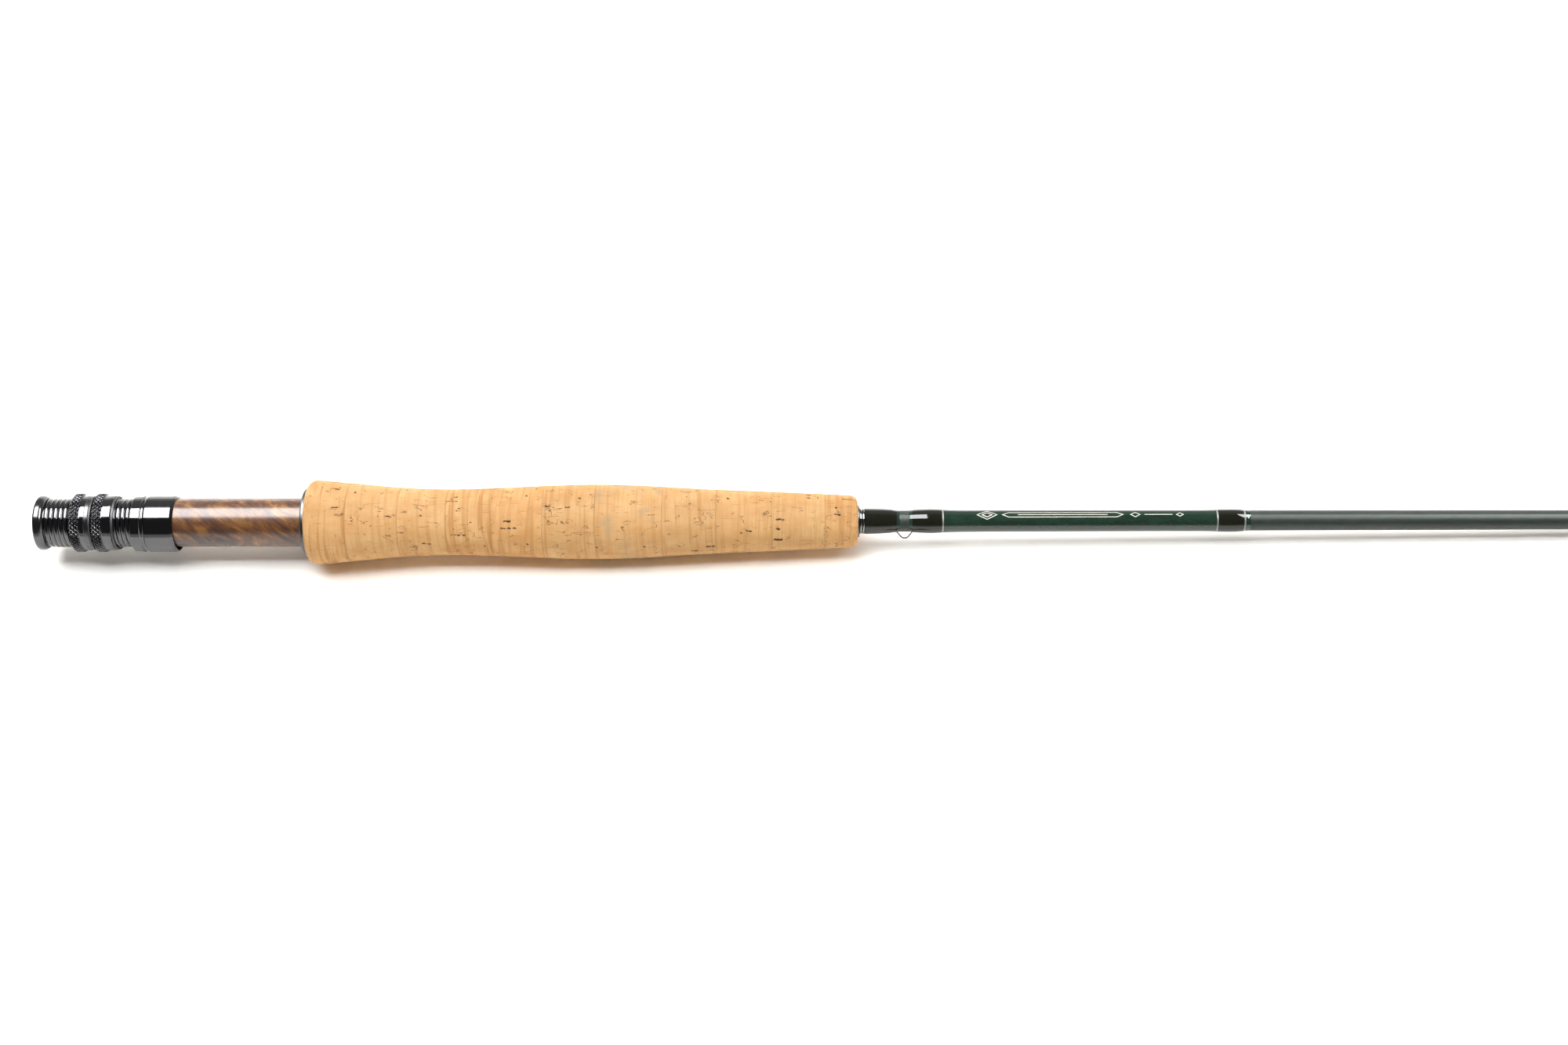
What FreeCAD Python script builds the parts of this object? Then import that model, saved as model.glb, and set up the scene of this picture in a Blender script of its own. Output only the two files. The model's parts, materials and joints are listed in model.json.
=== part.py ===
"""Butt section of a four-piece fly rod: up-locking reel seat, cork grip, hook keeper and tapered blank.

The rod lies along +X, from the butt face at x = 0 to the open end of the male ferrule. The origin is the centre
of the butt face. +Z is the top of the rod, where the label is read, -Z is the reel side, and the hook keeper
stands out along -Y. Every length is in millimetres. Each function below makes one piece of the rod, and
write_parts() saves each piece as its own STEP file.
"""

import FreeCAD, Part
import math
import os

# ---- the whole rod ----
ROD_LENGTH = 2743.2  # 9 ft, put together
SECTIONS = 4
FERRULE_LENGTH = 51.0  # how far the next section slides over this one
SECTION_LENGTH = (ROD_LENGTH + (SECTIONS - 1) * FERRULE_LENGTH) / SECTIONS

# ---- blank ----
BLANK_START = 9.0
BLANK_BUTT_R = 3.90
BLANK_FERRULE_R = 2.93
BLANK_WALL = 0.9
FERRULE_START = SECTION_LENGTH - FERRULE_LENGTH
FERRULE_R = 2.90
FERRULE_CHAMFER = 0.3
DOT_R = 1.1
DOT_HEIGHT = 0.2
DOT_FROM_FERRULE = 8.0

# ---- reel seat ----
CAP_R = 8.96
CAP_FACE_R = 8.5
CAP_CROWN = 0.95  # place of the rim's widest point
CAP_CROWN_BEND = 2.6  # radius of the rim's curve from there to the barrel
CAP_LENGTH = 3.0
CAP_PLUG_R = 6.45
CAP_PLUG_LENGTH = 5.6
BARREL_END = 34.0
BARREL_CREST_R = 7.9
BARREL_ROOT_R = 7.5
BARREL_BORE_R = 6.5
THREAD_PITCH = 1.54
THREAD_CREST = 1.2  # width of the flat on each turn
THREAD_MARGIN = 0.35  # plain barrel at each end of the thread
NUT_BORE_R = BARREL_CREST_R + 0.07
NUT_LENGTH = 6.3
NUT_KNURL_LENGTH = 3.3
NUT_KNURL_R = 9.5
NUT_BAND_R = 8.9
NUT_CHAMFER = 0.45
REAR_NUT_START = 11.7
REAR_NUT_NOSE_R = 8.7
FRONT_NUT_START = 18.85
FRONT_NUT_NOSE_R = NUT_BAND_R
WASHER_BORE_R = BARREL_CREST_R + 0.07
REAR_WASHER_R = 8.75
REAR_WASHER_T = 0.5
FRONT_WASHER_R = 8.65
FRONT_WASHER_T = 0.7
HOOD_START = 31.1
HOOD_LENGTH = 13.8
HOOD_BORE_R = BARREL_CREST_R + 0.07
HOOD_COLLAR_R = 9.0
HOOD_COLLAR_LENGTH = 3.1
HOOD_COLLAR_ROUND = 0.3
HOOD_FLARE = 0.15  # how much wider the collar is at its front
HOOD_COVE_LENGTH = 1.6
HOOD_COVE_R = 8.75
HOOD_BODY_R = 9.2
HOOD_MOUTH_R = 8.85
HOOD_MOUTH_BEVEL = 0.9
HOOD_DROP = 0.7  # how far the hood's outside is set towards the reel side
POCKET_DEPTH = 10.5  # room for one end of a reel foot
POCKET_R = 8.4
POCKET_DROP = 0.8
INSERT_R = HOOD_BORE_R - 0.09
INSERT_TENON_R = BARREL_BORE_R - 0.05
INSERT_TENON_START = 10.0
INSERT_BORE_R = 4.9
MORTISE_FLOOR_R = 6.5
MORTISE_WIDTH = 12.0
SHIM_LENGTH = 12.0
SHIM_STARTS = (12.0, 47.0, 82.0)

# ---- grip ----
GRIP_START = 87.55
CORK_RINGS = (13.6, 16.4, 15.5, 14.5, 16.6, 16.8, 21.4, 17.3, 18.0, 17.2, 10.7)  # lengths, rear to front
GRIP_LENGTH = sum(CORK_RINGS)
GRIP_END = GRIP_START + GRIP_LENGTH
PLATE_T = 1.15  # flange of the cork hood, against the grip's rear face
PLATE_R = 11.1
CORK_HOOD_R = 10.1
CORK_HOOD_DEPTH = 12.0
CORK_HOOD_END_WALL = 1.0
GRIP_FLARE_R = 13.7
GRIP_REAR_ROUND = 2.6
GRIP_FRONT_R = 8.45
GRIP_FRONT_ROUND = 2.8
# The turned outline between the two rounded ends: distance from the grip's rear face, radius.
GRIP_OUTLINE = (
    (20.0, 12.1),
    (33.0, 11.05),
    (46.0, 10.7),
    (68.0, 11.35),
    (90.0, 12.1),
    (105.0, 11.85),
    (122.0, 10.9),
    (150.0, 9.65),
)

# ---- winding check, wraps and label ----
CHECK_PLATE_R = 5.2
CHECK_PLATE_T = 0.45
CHECK_R = 4.2
CHECK_GROOVE_R = 4.05
CHECK_T = 1.8
TRIM_T = 0.5
WRAP_FRONT_END = 292.8
LABEL_COAT_END = 381.7
LABEL_WRAP_END = 390.6
# Outlines of the wraps and finishes with the gloss over them: place along the rod, radius.
WRAP_REAR_OUTLINE = (
    (267.8, 4.16),
    (270.7, 4.13),
    (272.8, 4.08),
    (274.8, 3.99),
    (275.9, 3.90),
    (276.9, 3.78),
    (277.7, 3.65),
    (278.3, 3.565),
    (279.1, 3.535),
)
WRAP_FRONT_OUTLINE = (
    (282.1, 3.53),
    (282.8, 3.565),
    (283.4, 3.68),
    (284.1, 3.77),
    (285.1, 3.83),
    (286.2, 3.88),
    (287.2, 3.925),
    (288.3, 3.955),
    (290.0, 3.96),
    (291.2, 3.92),
    (292.8, 3.82),
)
LABEL_COAT_OUTLINE = (
    (293.3, 3.79),
    (294.5, 3.75),
    (296.5, 3.68),
    (299.5, 3.62),
    (306.0, 3.6),
    (320.0, 3.575),
    (345.0, 3.545),
    (368.0, 3.52),
    (376.0, 3.525),
    (379.0, 3.55),
    (381.7, 3.62),
)
LABEL_WRAP_OUTLINE = (
    (382.2, 3.63),
    (383.3, 3.685),
    (384.5, 3.72),
    (386.2, 3.745),
    (387.6, 3.735),
    (388.6, 3.70),
    (389.4, 3.645),
    (390.6, 3.54),
)
FINISH_LIP_OUTLINE = ((391.1, 3.51), (391.7, 3.46), (392.2, 3.405), (392.7, 3.37))

# ---- hook keeper ----
KEEPER_MIDDLE = 280.6
KEEPER_WIRE_R = 0.23
KEEPER_HEIGHT = 6.65  # rod axis to the wire's centre line at the top of the loop
KEEPER_HALF_SPAN = 2.75  # loop centre to where a leg leaves the blank
KEEPER_FOOT = 5.2
KEEPER_APEX_BEND = 1.5
KEEPER_FOOT_BEND = 0.8
RIDGE_FROM_LOOP = 6.2  # loop centre to the middle of the rise over a foot
RIDGE_HALF_LENGTH = 4.0
RIDGE_HALF_WIDTH = 1.2
RIDGE_HEIGHT = 0.62  # from the blank's surface

AXIS = FreeCAD.Vector(1, 0, 0)


def blank_radius(x):
    """Outer radius of the tapered blank at x, up to the ferrule."""
    share = (x - BLANK_START) / (FERRULE_START - BLANK_START)
    return BLANK_BUTT_R + share * (BLANK_FERRULE_R - BLANK_BUTT_R)


def at(x, radius, drop=0.0):
    """A point of a turned outline, in the plane through the rod's axis and +Z."""
    return FreeCAD.Vector(x, 0, radius - drop)


def line(a, b):
    return Part.LineSegment(a, b).toShape()


def arc(a, middle, b):
    return Part.Arc(a, middle, b).toShape()


def turned(edges, drop=0.0):
    """The solid that closed edges sweep when they turn about the rod's axis, or about one set drop below it."""
    face = Part.Face(Part.Wire(edges))
    return face.revolve(FreeCAD.Vector(0, 0, -drop), AXIS, 360)


def turned_polygon(points, drop=0.0):
    corners = [at(x, r, drop) for x, r in points]
    return turned([line(a, b) for a, b in zip(corners, corners[1:] + corners[:1])], drop)


def cylinder(start, end, radius, drop=0.0):
    return Part.makeCylinder(radius, end - start, FreeCAD.Vector(start, 0, -drop), AXIS)


def blank_core(start, end):
    """The blank's own outer shape between two places, as a solid to cut from what is glued to it."""
    return Part.makeCone(blank_radius(start), blank_radius(end), end - start, FreeCAD.Vector(start, 0, 0), AXIS)


def sleeve(points):
    """A ring round the blank: points are its outer outline, and its bore is the blank's surface."""
    start, end = points[0][0], points[-1][0]
    outline = [(start, 0.0), *points, (end, 0.0)]
    return turned_polygon(outline).cut(blank_core(start, end))


def smooth_sleeve(points):
    """A ring round the blank, as sleeve() makes, with one smooth curve through its outline's points."""
    (start, start_r), (end, end_r) = points[0], points[-1]
    outline = Part.BSplineCurve()
    outline.interpolate([at(x, r) for x, r in points])
    edges = [
        line(at(start, 0), at(start, start_r)),
        outline.toShape(),
        line(at(end, end_r), at(end, 0)),
        line(at(end, 0), at(start, 0)),
    ]
    return turned(edges).cut(blank_core(start, end))


# ---------------------------------------------------------------- reel seat


def butt_cap():
    """Turned end cap with a rounded rim, and the plug that is glued into the barrel."""
    plug_end = CAP_LENGTH + CAP_PLUG_LENGTH
    rim = at(CAP_CROWN, CAP_R)
    middle = at(*on_crown((CAP_CROWN + CAP_LENGTH) / 2))
    foot = at(*on_crown(CAP_LENGTH))
    edges = [
        line(at(0, 0), at(0, CAP_FACE_R)),
        arc(at(0, CAP_FACE_R), at(0.3, CAP_R - 0.13), rim),
        arc(rim, middle, foot),
        line(foot, at(CAP_LENGTH, CAP_PLUG_R)),
        line(at(CAP_LENGTH, CAP_PLUG_R), at(plug_end, CAP_PLUG_R)),
        line(at(plug_end, CAP_PLUG_R), at(plug_end, 0)),
        line(at(plug_end, 0), at(0, 0)),
    ]
    return turned(edges)


def on_crown(x):
    """The point at x of the curve that runs from the cap's widest place to the barrel."""
    along = x - CAP_CROWN
    return x, CAP_R - CAP_CROWN_BEND + math.sqrt(CAP_CROWN_BEND**2 - along**2)


def threaded_barrel():
    """Aluminium tube with the lock nuts' thread. Each turn of the thread is a ring here."""
    groove = THREAD_PITCH - THREAD_CREST
    first = CAP_LENGTH + THREAD_MARGIN
    turns = int((BARREL_END - THREAD_MARGIN - first) / THREAD_PITCH)
    outline = [(CAP_LENGTH, BARREL_BORE_R), (CAP_LENGTH, BARREL_ROOT_R), (first, BARREL_ROOT_R)]
    for n in range(turns):
        x = first + n * THREAD_PITCH
        outline += [
            (x + groove / 2, BARREL_CREST_R),
            (x + groove / 2 + THREAD_CREST, BARREL_CREST_R),
            (x + THREAD_PITCH, BARREL_ROOT_R),
        ]
    outline += [(BARREL_END, BARREL_ROOT_R), (BARREL_END, BARREL_BORE_R)]
    return turned_polygon(outline)


def lock_nut(start, nose_r):
    """Ring nut: a knurled band at the rear and a plain band that narrows to its nose in front of it."""
    knurl_end = start + NUT_KNURL_LENGTH
    end = start + NUT_LENGTH
    band_middle = (knurl_end + end) / 2
    outline = [
        (start, NUT_BORE_R),
        (start, NUT_KNURL_R - NUT_CHAMFER),
        (start + NUT_CHAMFER, NUT_KNURL_R),
        (knurl_end - NUT_CHAMFER, NUT_KNURL_R),
        (knurl_end, NUT_BAND_R),
        (band_middle, NUT_BAND_R),
        (end - NUT_CHAMFER, nose_r),
        (end, nose_r - NUT_CHAMFER),
        (end, NUT_BORE_R),
    ]
    return turned_polygon(outline)


def washer(start, thickness, radius):
    """Nylon washer that travels along the barrel with its nut and doesn't turn."""
    return cylinder(start, start + thickness, radius).cut(cylinder(start, start + thickness, WASHER_BORE_R))


def reel_foot_pocket(start, end):
    """The room between a hood and the insert that one end of a reel foot slides into, on the reel side."""
    return cylinder(start, end, POCKET_R, POCKET_DROP)


def sliding_hood():
    """Hood that slides on the insert: a collar, a cove and a plain body set off towards the reel side."""
    collar_end = HOOD_START + HOOD_COLLAR_LENGTH
    body_start = collar_end + HOOD_COVE_LENGTH
    end = HOOD_START + HOOD_LENGTH
    cove_middle = (collar_end + body_start) / 2

    def point(x, radius):
        return at(x, radius, HOOD_DROP)

    rear_face = point(HOOD_START, HOOD_COLLAR_R - HOOD_COLLAR_ROUND)
    rear_edge = point(HOOD_START + HOOD_COLLAR_ROUND, HOOD_COLLAR_R)
    diagonal = HOOD_COLLAR_ROUND * (1 - math.sqrt(0.5))
    collar_front = point(collar_end, HOOD_COLLAR_R + HOOD_FLARE)
    body_rear = point(body_start, HOOD_BODY_R)
    body_front = point(end - HOOD_MOUTH_BEVEL, HOOD_BODY_R)
    mouth = point(end, HOOD_MOUTH_R)
    edges = [
        line(point(HOOD_START, 0), rear_face),
        arc(rear_face, point(HOOD_START + diagonal, HOOD_COLLAR_R - diagonal), rear_edge),
        line(rear_edge, collar_front),
        arc(collar_front, point(cove_middle, HOOD_COVE_R), body_rear),
        line(body_rear, body_front),
        line(body_front, mouth),
        line(mouth, point(end, 0)),
        line(point(end, 0), point(HOOD_START, 0)),
    ]
    bore = cylinder(HOOD_START, end, HOOD_BORE_R)
    return turned(edges, HOOD_DROP).cut(bore.fuse(reel_foot_pocket(end - POCKET_DEPTH, end)))


def wood_insert():
    """Burl spacer with a tenon inside the barrel and a shallow saddle for the reel foot along the reel side."""
    end = GRIP_START - PLATE_T + CORK_HOOD_DEPTH
    body = cylinder(BARREL_END, end, INSERT_R).fuse(cylinder(INSERT_TENON_START, BARREL_END, INSERT_TENON_R))
    saddle = Part.makeBox(
        end - BARREL_END,
        MORTISE_WIDTH,
        2 * INSERT_R,
        FreeCAD.Vector(BARREL_END, -MORTISE_WIDTH / 2, -2 * INSERT_R),
    ).cut(cylinder(BARREL_END, end, MORTISE_FLOOR_R))
    return body.cut(saddle).cut(cylinder(INSERT_TENON_START, end, INSERT_BORE_R)).removeSplitter()


def cork_hood():
    """Fixed hood: a cup set into the rear of the grip, with the flange that shows against the cork."""
    mouth = GRIP_START - PLATE_T
    cup_end = mouth + CORK_HOOD_DEPTH + CORK_HOOD_END_WALL
    flange = turned_polygon(
        [
            (mouth, 0),
            (mouth, PLATE_R - 0.4),
            (mouth + 0.4, PLATE_R),
            (GRIP_START, PLATE_R),
            (GRIP_START, 0),
        ]
    )
    cup = cylinder(mouth, cup_end, CORK_HOOD_R).fuse(flange)
    room = cylinder(mouth, mouth + CORK_HOOD_DEPTH, INSERT_R).fuse(reel_foot_pocket(mouth, mouth + POCKET_DEPTH))
    return cup.cut(room).cut(cylinder(mouth, cup_end, INSERT_BORE_R))


def blank_shim(start):
    """Arbor ring that centres the insert on the blank."""
    return cylinder(start, start + SHIM_LENGTH, INSERT_BORE_R).cut(blank_core(start, start + SHIM_LENGTH))


# ---------------------------------------------------------------- grip


def grip_body():
    """The whole turned grip as one solid, before it is divided into its cork rings."""
    rear_corner = at(GRIP_START + GRIP_REAR_ROUND, GRIP_FLARE_R)
    rear_edge = at(GRIP_START, GRIP_FLARE_R - GRIP_REAR_ROUND)
    front_corner = at(GRIP_END - GRIP_FRONT_ROUND, GRIP_FRONT_R)
    front_edge = at(GRIP_END, GRIP_FRONT_R - GRIP_FRONT_ROUND)
    diagonal = 1 - math.sqrt(0.5)
    rear_middle = at(GRIP_START + diagonal * GRIP_REAR_ROUND, GRIP_FLARE_R - diagonal * GRIP_REAR_ROUND)
    front_middle = at(GRIP_END - diagonal * GRIP_FRONT_ROUND, GRIP_FRONT_R - diagonal * GRIP_FRONT_ROUND)
    outline = Part.BSplineCurve()
    outline.interpolate([rear_corner, *(at(GRIP_START + x, r) for x, r in GRIP_OUTLINE), front_corner])
    edges = [
        line(at(GRIP_START, 0), rear_edge),
        arc(rear_edge, rear_middle, rear_corner),
        outline.toShape(),
        arc(front_corner, front_middle, front_edge),
        line(front_edge, at(GRIP_END, 0)),
        line(at(GRIP_END, 0), at(GRIP_START, 0)),
    ]
    return turned(edges)


def cork_rings():
    """The grip's cork rings from rear to front, bored for the blank, the rear one also for the cork hood."""
    body = grip_body().cut(blank_core(GRIP_START, GRIP_END))
    hood_end = GRIP_START - PLATE_T + CORK_HOOD_DEPTH + CORK_HOOD_END_WALL
    body = body.cut(cylinder(GRIP_START, hood_end, CORK_HOOD_R))
    joints = [GRIP_START + sum(CORK_RINGS[:n]) for n in range(len(CORK_RINGS) + 1)]
    return [body.common(cylinder(a, b, 2 * GRIP_FLARE_R)) for a, b in zip(joints, joints[1:])]


# ---------------------------------------------------------------- blank and fittings


def blank():
    """Tapered graphite tube, with the parallel land of the male ferrule at its front end."""
    end = SECTION_LENGTH
    tube = blank_core(BLANK_START, FERRULE_START).fuse(cylinder(FERRULE_START, end, FERRULE_R))
    bore = Part.makeCone(
        BLANK_BUTT_R - BLANK_WALL,
        BLANK_FERRULE_R - BLANK_WALL,
        FERRULE_START - BLANK_START,
        FreeCAD.Vector(BLANK_START, 0, 0),
        AXIS,
    ).fuse(cylinder(FERRULE_START, end, BLANK_FERRULE_R - BLANK_WALL))
    edge = turned_polygon(
        [
            (end - FERRULE_CHAMFER, FERRULE_R),
            (end, FERRULE_R - FERRULE_CHAMFER),
            (end, FERRULE_R + 1),
            (end - FERRULE_CHAMFER, FERRULE_R + 1),
        ]
    )
    return tube.cut(bore).cut(edge)


def alignment_dot():
    """Raised dot on top of the blank that lines this section up with the next one."""
    x = FERRULE_START - DOT_FROM_FERRULE
    base = blank_radius(x + DOT_R)
    disc = Part.makeCylinder(DOT_R, 2.0, FreeCAD.Vector(x, 0, base - 1.0))
    cap = blank_core(x - 2 * DOT_R, x + 2 * DOT_R)
    cap.scale(1 + DOT_HEIGHT / base, FreeCAD.Vector(x, 0, 0))
    return disc.common(cap).cut(blank_core(x - 2 * DOT_R, x + 2 * DOT_R))


def winding_check_plate():
    end = GRIP_END + CHECK_PLATE_T
    return sleeve([(GRIP_END, CHECK_PLATE_R), (end, CHECK_PLATE_R)])


def winding_check():
    """Nickel-silver ring in two steps, between the grip and the first wrap."""
    start = GRIP_END + CHECK_PLATE_T
    end = start + CHECK_T
    middle = (start + end) / 2
    outline = [
        (start, CHECK_R),
        (middle - 0.12, CHECK_R),
        (middle, CHECK_GROOVE_R),
        (middle + 0.12, CHECK_R),
        (end, CHECK_R),
    ]
    return sleeve(outline)


def hook_keeper():
    """Bent wire loop: a foot under each wrap, two legs and a rounded top, in the plane of the axis and -Y."""
    middle = KEEPER_MIDDLE
    foot_y = blank_radius(middle - KEEPER_HALF_SPAN) + KEEPER_WIRE_R + 0.02
    feet = KEEPER_HALF_SPAN + KEEPER_FOOT
    corners = [
        FreeCAD.Vector(middle - feet, -foot_y, 0),
        FreeCAD.Vector(middle - KEEPER_HALF_SPAN, -foot_y, 0),
        FreeCAD.Vector(middle, -KEEPER_HEIGHT - 0.9, 0),
        FreeCAD.Vector(middle + KEEPER_HALF_SPAN, -foot_y, 0),
        FreeCAD.Vector(middle + feet, -foot_y, 0),
    ]
    bends = [KEEPER_FOOT_BEND, KEEPER_APEX_BEND, KEEPER_FOOT_BEND]
    wire = bent_wire(corners, bends)
    section = Part.Wire(Part.Circle(corners[0], AXIS, KEEPER_WIRE_R).toShape())
    return wire.makePipeShell([section], True, False)


def bent_wire(corners, bends):
    """Straight runs through the corners, joined by tangent arcs of the given bend radii."""
    edges = []
    start = corners[0]
    for before, corner, after, radius in zip(corners, corners[1:], corners[2:], bends):
        back = (before - corner).normalize()
        ahead = (after - corner).normalize()
        half = back.getAngle(ahead) / 2
        reach = radius / math.tan(half)
        towards = (back + ahead).normalize()
        enter = corner + back * reach
        leave = corner + ahead * reach
        middle = corner + towards * (radius / math.sin(half) - radius)
        edges += [line(start, enter), arc(enter, middle, leave)]
        start = leave
    return Part.Wire([*edges, line(start, corners[-1])])


def keeper_wrap(points, foot_middle, keeper):
    """Thread wrap and its finish over one of the keeper's feet, where it rises in a low ridge."""
    shape = FreeCAD.Matrix()
    shape.scale(FreeCAD.Vector(RIDGE_HALF_LENGTH, RIDGE_HEIGHT, RIDGE_HALF_WIDTH))
    shape.move(FreeCAD.Vector(foot_middle, -blank_radius(foot_middle), 0))
    ridge = Part.makeSphere(1.0).transformGeometry(shape)
    ridge = ridge.cut(blank_core(foot_middle - 2 * RIDGE_HALF_LENGTH, foot_middle + 2 * RIDGE_HALF_LENGTH))
    return smooth_sleeve(points).fuse(ridge).cut(keeper)


def trim_band(start, radius):
    """Two turns of metallic thread beside a wrap."""
    return sleeve([(start, radius), (start + TRIM_T, radius)])


def make_parts():
    """Every piece of the rod section by name, in the order it is put together."""
    keeper = hook_keeper()
    parts = {
        "blank": blank(),
        "butt_cap": butt_cap(),
        "threaded_barrel": threaded_barrel(),
        "rear_lock_nut": lock_nut(REAR_NUT_START, REAR_NUT_NOSE_R),
        "rear_slip_washer": washer(REAR_NUT_START + NUT_LENGTH, REAR_WASHER_T, REAR_WASHER_R),
        "front_lock_nut": lock_nut(FRONT_NUT_START, FRONT_NUT_NOSE_R),
        "front_slip_washer": washer(FRONT_NUT_START + NUT_LENGTH, FRONT_WASHER_T, FRONT_WASHER_R),
        "sliding_hood": sliding_hood(),
        "wood_insert": wood_insert(),
        "cork_hood": cork_hood(),
        "winding_check_plate": winding_check_plate(),
        "winding_check": winding_check(),
        "hook_keeper": keeper,
        "keeper_wrap_rear": keeper_wrap(WRAP_REAR_OUTLINE, KEEPER_MIDDLE - RIDGE_FROM_LOOP, keeper),
        "keeper_wrap_front": keeper_wrap(WRAP_FRONT_OUTLINE, KEEPER_MIDDLE + RIDGE_FROM_LOOP, keeper),
        "keeper_trim_band": trim_band(WRAP_FRONT_END, 3.83),
        "label_coat": sleeve(LABEL_COAT_OUTLINE),
        "label_trim_band_rear": trim_band(LABEL_COAT_END, 3.65),
        "label_wrap": smooth_sleeve(LABEL_WRAP_OUTLINE),
        "label_trim_band_front": trim_band(LABEL_WRAP_END, 3.55),
        "finish_lip": sleeve(FINISH_LIP_OUTLINE),
        "alignment_dot": alignment_dot(),
    }
    for name, start in zip(("shim_rear", "shim_middle", "shim_front"), SHIM_STARTS):
        parts[name] = blank_shim(start)
    for number, ring in enumerate(cork_rings(), 1):
        parts[f"cork_ring_{number:02d}"] = ring
    return parts


def write_parts():
    os.makedirs("parts", exist_ok=True)
    for name, shape in make_parts().items():
        shape.exportStep(f"parts/{name}.step")
        print(f"{name}: {len(shape.Solids)} solid, {shape.Volume:.1f} mm3, valid {shape.isValid()}")


write_parts()
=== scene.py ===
"""Looks of the fly rod's butt section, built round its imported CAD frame.

Lengths in this script are in millimetres wherever a name or comment doesn't say otherwise, and become
metres in the mesh builders. X runs along the rod from the butt, +Z is its top and the hook keeper is on -Y.
"""

import json
import math

import bmesh
import bpy
import numpy as np
from mathutils import Euler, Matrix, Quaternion, Vector


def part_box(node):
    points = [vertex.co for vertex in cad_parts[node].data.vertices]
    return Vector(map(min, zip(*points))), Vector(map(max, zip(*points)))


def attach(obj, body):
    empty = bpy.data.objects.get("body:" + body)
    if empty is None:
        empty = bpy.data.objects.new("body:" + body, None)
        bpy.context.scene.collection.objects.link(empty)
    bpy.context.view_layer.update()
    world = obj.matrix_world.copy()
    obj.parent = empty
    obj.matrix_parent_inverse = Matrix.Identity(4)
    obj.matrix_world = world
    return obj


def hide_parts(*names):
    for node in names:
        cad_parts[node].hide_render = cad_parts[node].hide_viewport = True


MM = 0.001
SHARP = 32.0  # degrees, edges with a sharper angle than this are shown sharp
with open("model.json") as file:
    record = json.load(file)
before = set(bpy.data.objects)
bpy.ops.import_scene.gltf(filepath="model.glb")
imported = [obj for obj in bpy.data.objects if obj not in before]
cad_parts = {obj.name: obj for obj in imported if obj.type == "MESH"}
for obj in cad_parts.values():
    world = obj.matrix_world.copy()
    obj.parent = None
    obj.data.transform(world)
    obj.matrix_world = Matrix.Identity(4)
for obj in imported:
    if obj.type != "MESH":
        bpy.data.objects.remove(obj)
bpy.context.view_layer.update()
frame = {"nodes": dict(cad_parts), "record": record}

GLOSS_ROUGH = 0.075  # roughness of the brightest anodised faces

# ---- thread and lock nuts, as in the CAD model ----
THREAD_PITCH = 1.54
THREAD_DEPTH = 0.4
THREAD_GROOVE = 0.36  # width of the cut between two turns
THREAD_ROUND = 0.17  # how far a turn's edges lie below its middle
THREAD_PHASE = -0.2  # where a groove crosses the side of the barrel, from its rear end
THREAD_RUNOUT = 0.35  # length over which the thread fades at each end of the barrel
THREAD_COLUMNS = 128  # stations round one turn
THREAD_CROWN_POINTS = 9  # points across the top of a turn
BARREL_BORE_R = 6.5
NUT_BORE_R = 7.97
NUT_KNURL_LENGTH = 3.3
NUT_BAND_R = 8.9
NUT_NOSE_R = {"rear_lock_nut": 8.7, "front_lock_nut": 8.9}
NUT_FINISH = {  # material and roughness of the two halves of the plain band
    "rear_lock_nut": (("nut_gloss", GLOSS_ROUGH), ("nut_satin", 0.24)),
    "front_lock_nut": (("nut_gloss", GLOSS_ROUGH), ("nut_gloss", GLOSS_ROUGH)),
}
NUT_CHAMFER = 0.45
KNURL_DEPTH = 0.42
KNURL_FLAT = 0.3  # share of a diamond left uncut
KNURL_COUNT = 39  # diamonds round the nut
KNURL_CELL = 1.475  # length of a diamond along the rod
KNURL_COLUMNS = 14  # columns of points in one diamond
KNURL_STEP = 0.12  # spacing of the points along the rod
KNURL_SHARP = 28.0  # degrees, as SHARP
KNURL_EDGE_DROP = (0.75, 0.45)  # how far the knurl's rear and front edges are turned down
KNURL_BAND_GAP = 0.25  # length of the slope from the knurl to the plain band
BAND_STEP_LENGTH = 0.12  # the band's radius changes over this length at its middle

# ---- winding check ----
BEAD_DEPTH = 0.3  # from the middle of a bead down to its edge
BEAD_COUNT = 2
BEAD_POINTS = 16  # points along one bead
BEAD_COLUMNS = 96

# ---- grip ----
CORK_RING_COUNT = 11
GRIP_REAR_ROUND = 2.6
GRIP_FRONT_ROUND = 2.8
CORK_HOOD_R = 10.1
CORK_STEP = 0.28  # spacing of the cork meshes' points
CORK_JOINT_DEPTH = 0.05
CORK_JOINT_WIDTH = 0.3
CORK_ROUND_POINTS = 12  # points along each of the grip's rounded ends
CORK_SHARP = 60.0  # degrees, as SHARP
GRIP_READ_STEP = 1.2  # the CAD grip's outline is read about this far apart
GREY_RING = 7  # the one ring with a grey patch
PIT_DEPTH = 0.42
PIT_RUNS = (9, 15)  # least number of runs of pits on a ring, and one above the most
PIT_RUN_LENGTHS = [0.0, 1.0, 2.2, 4.5]
PIT_RUN_SHARES = [0.35, 0.3, 0.25, 0.1]  # how common each of those lengths is
PIT_SIZE = (0.25, 0.55)
PIT_STEP = 0.3  # spacing of the hollows in a run
PIT_KEPT = 0.72  # share of a run's hollows that are there

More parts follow.
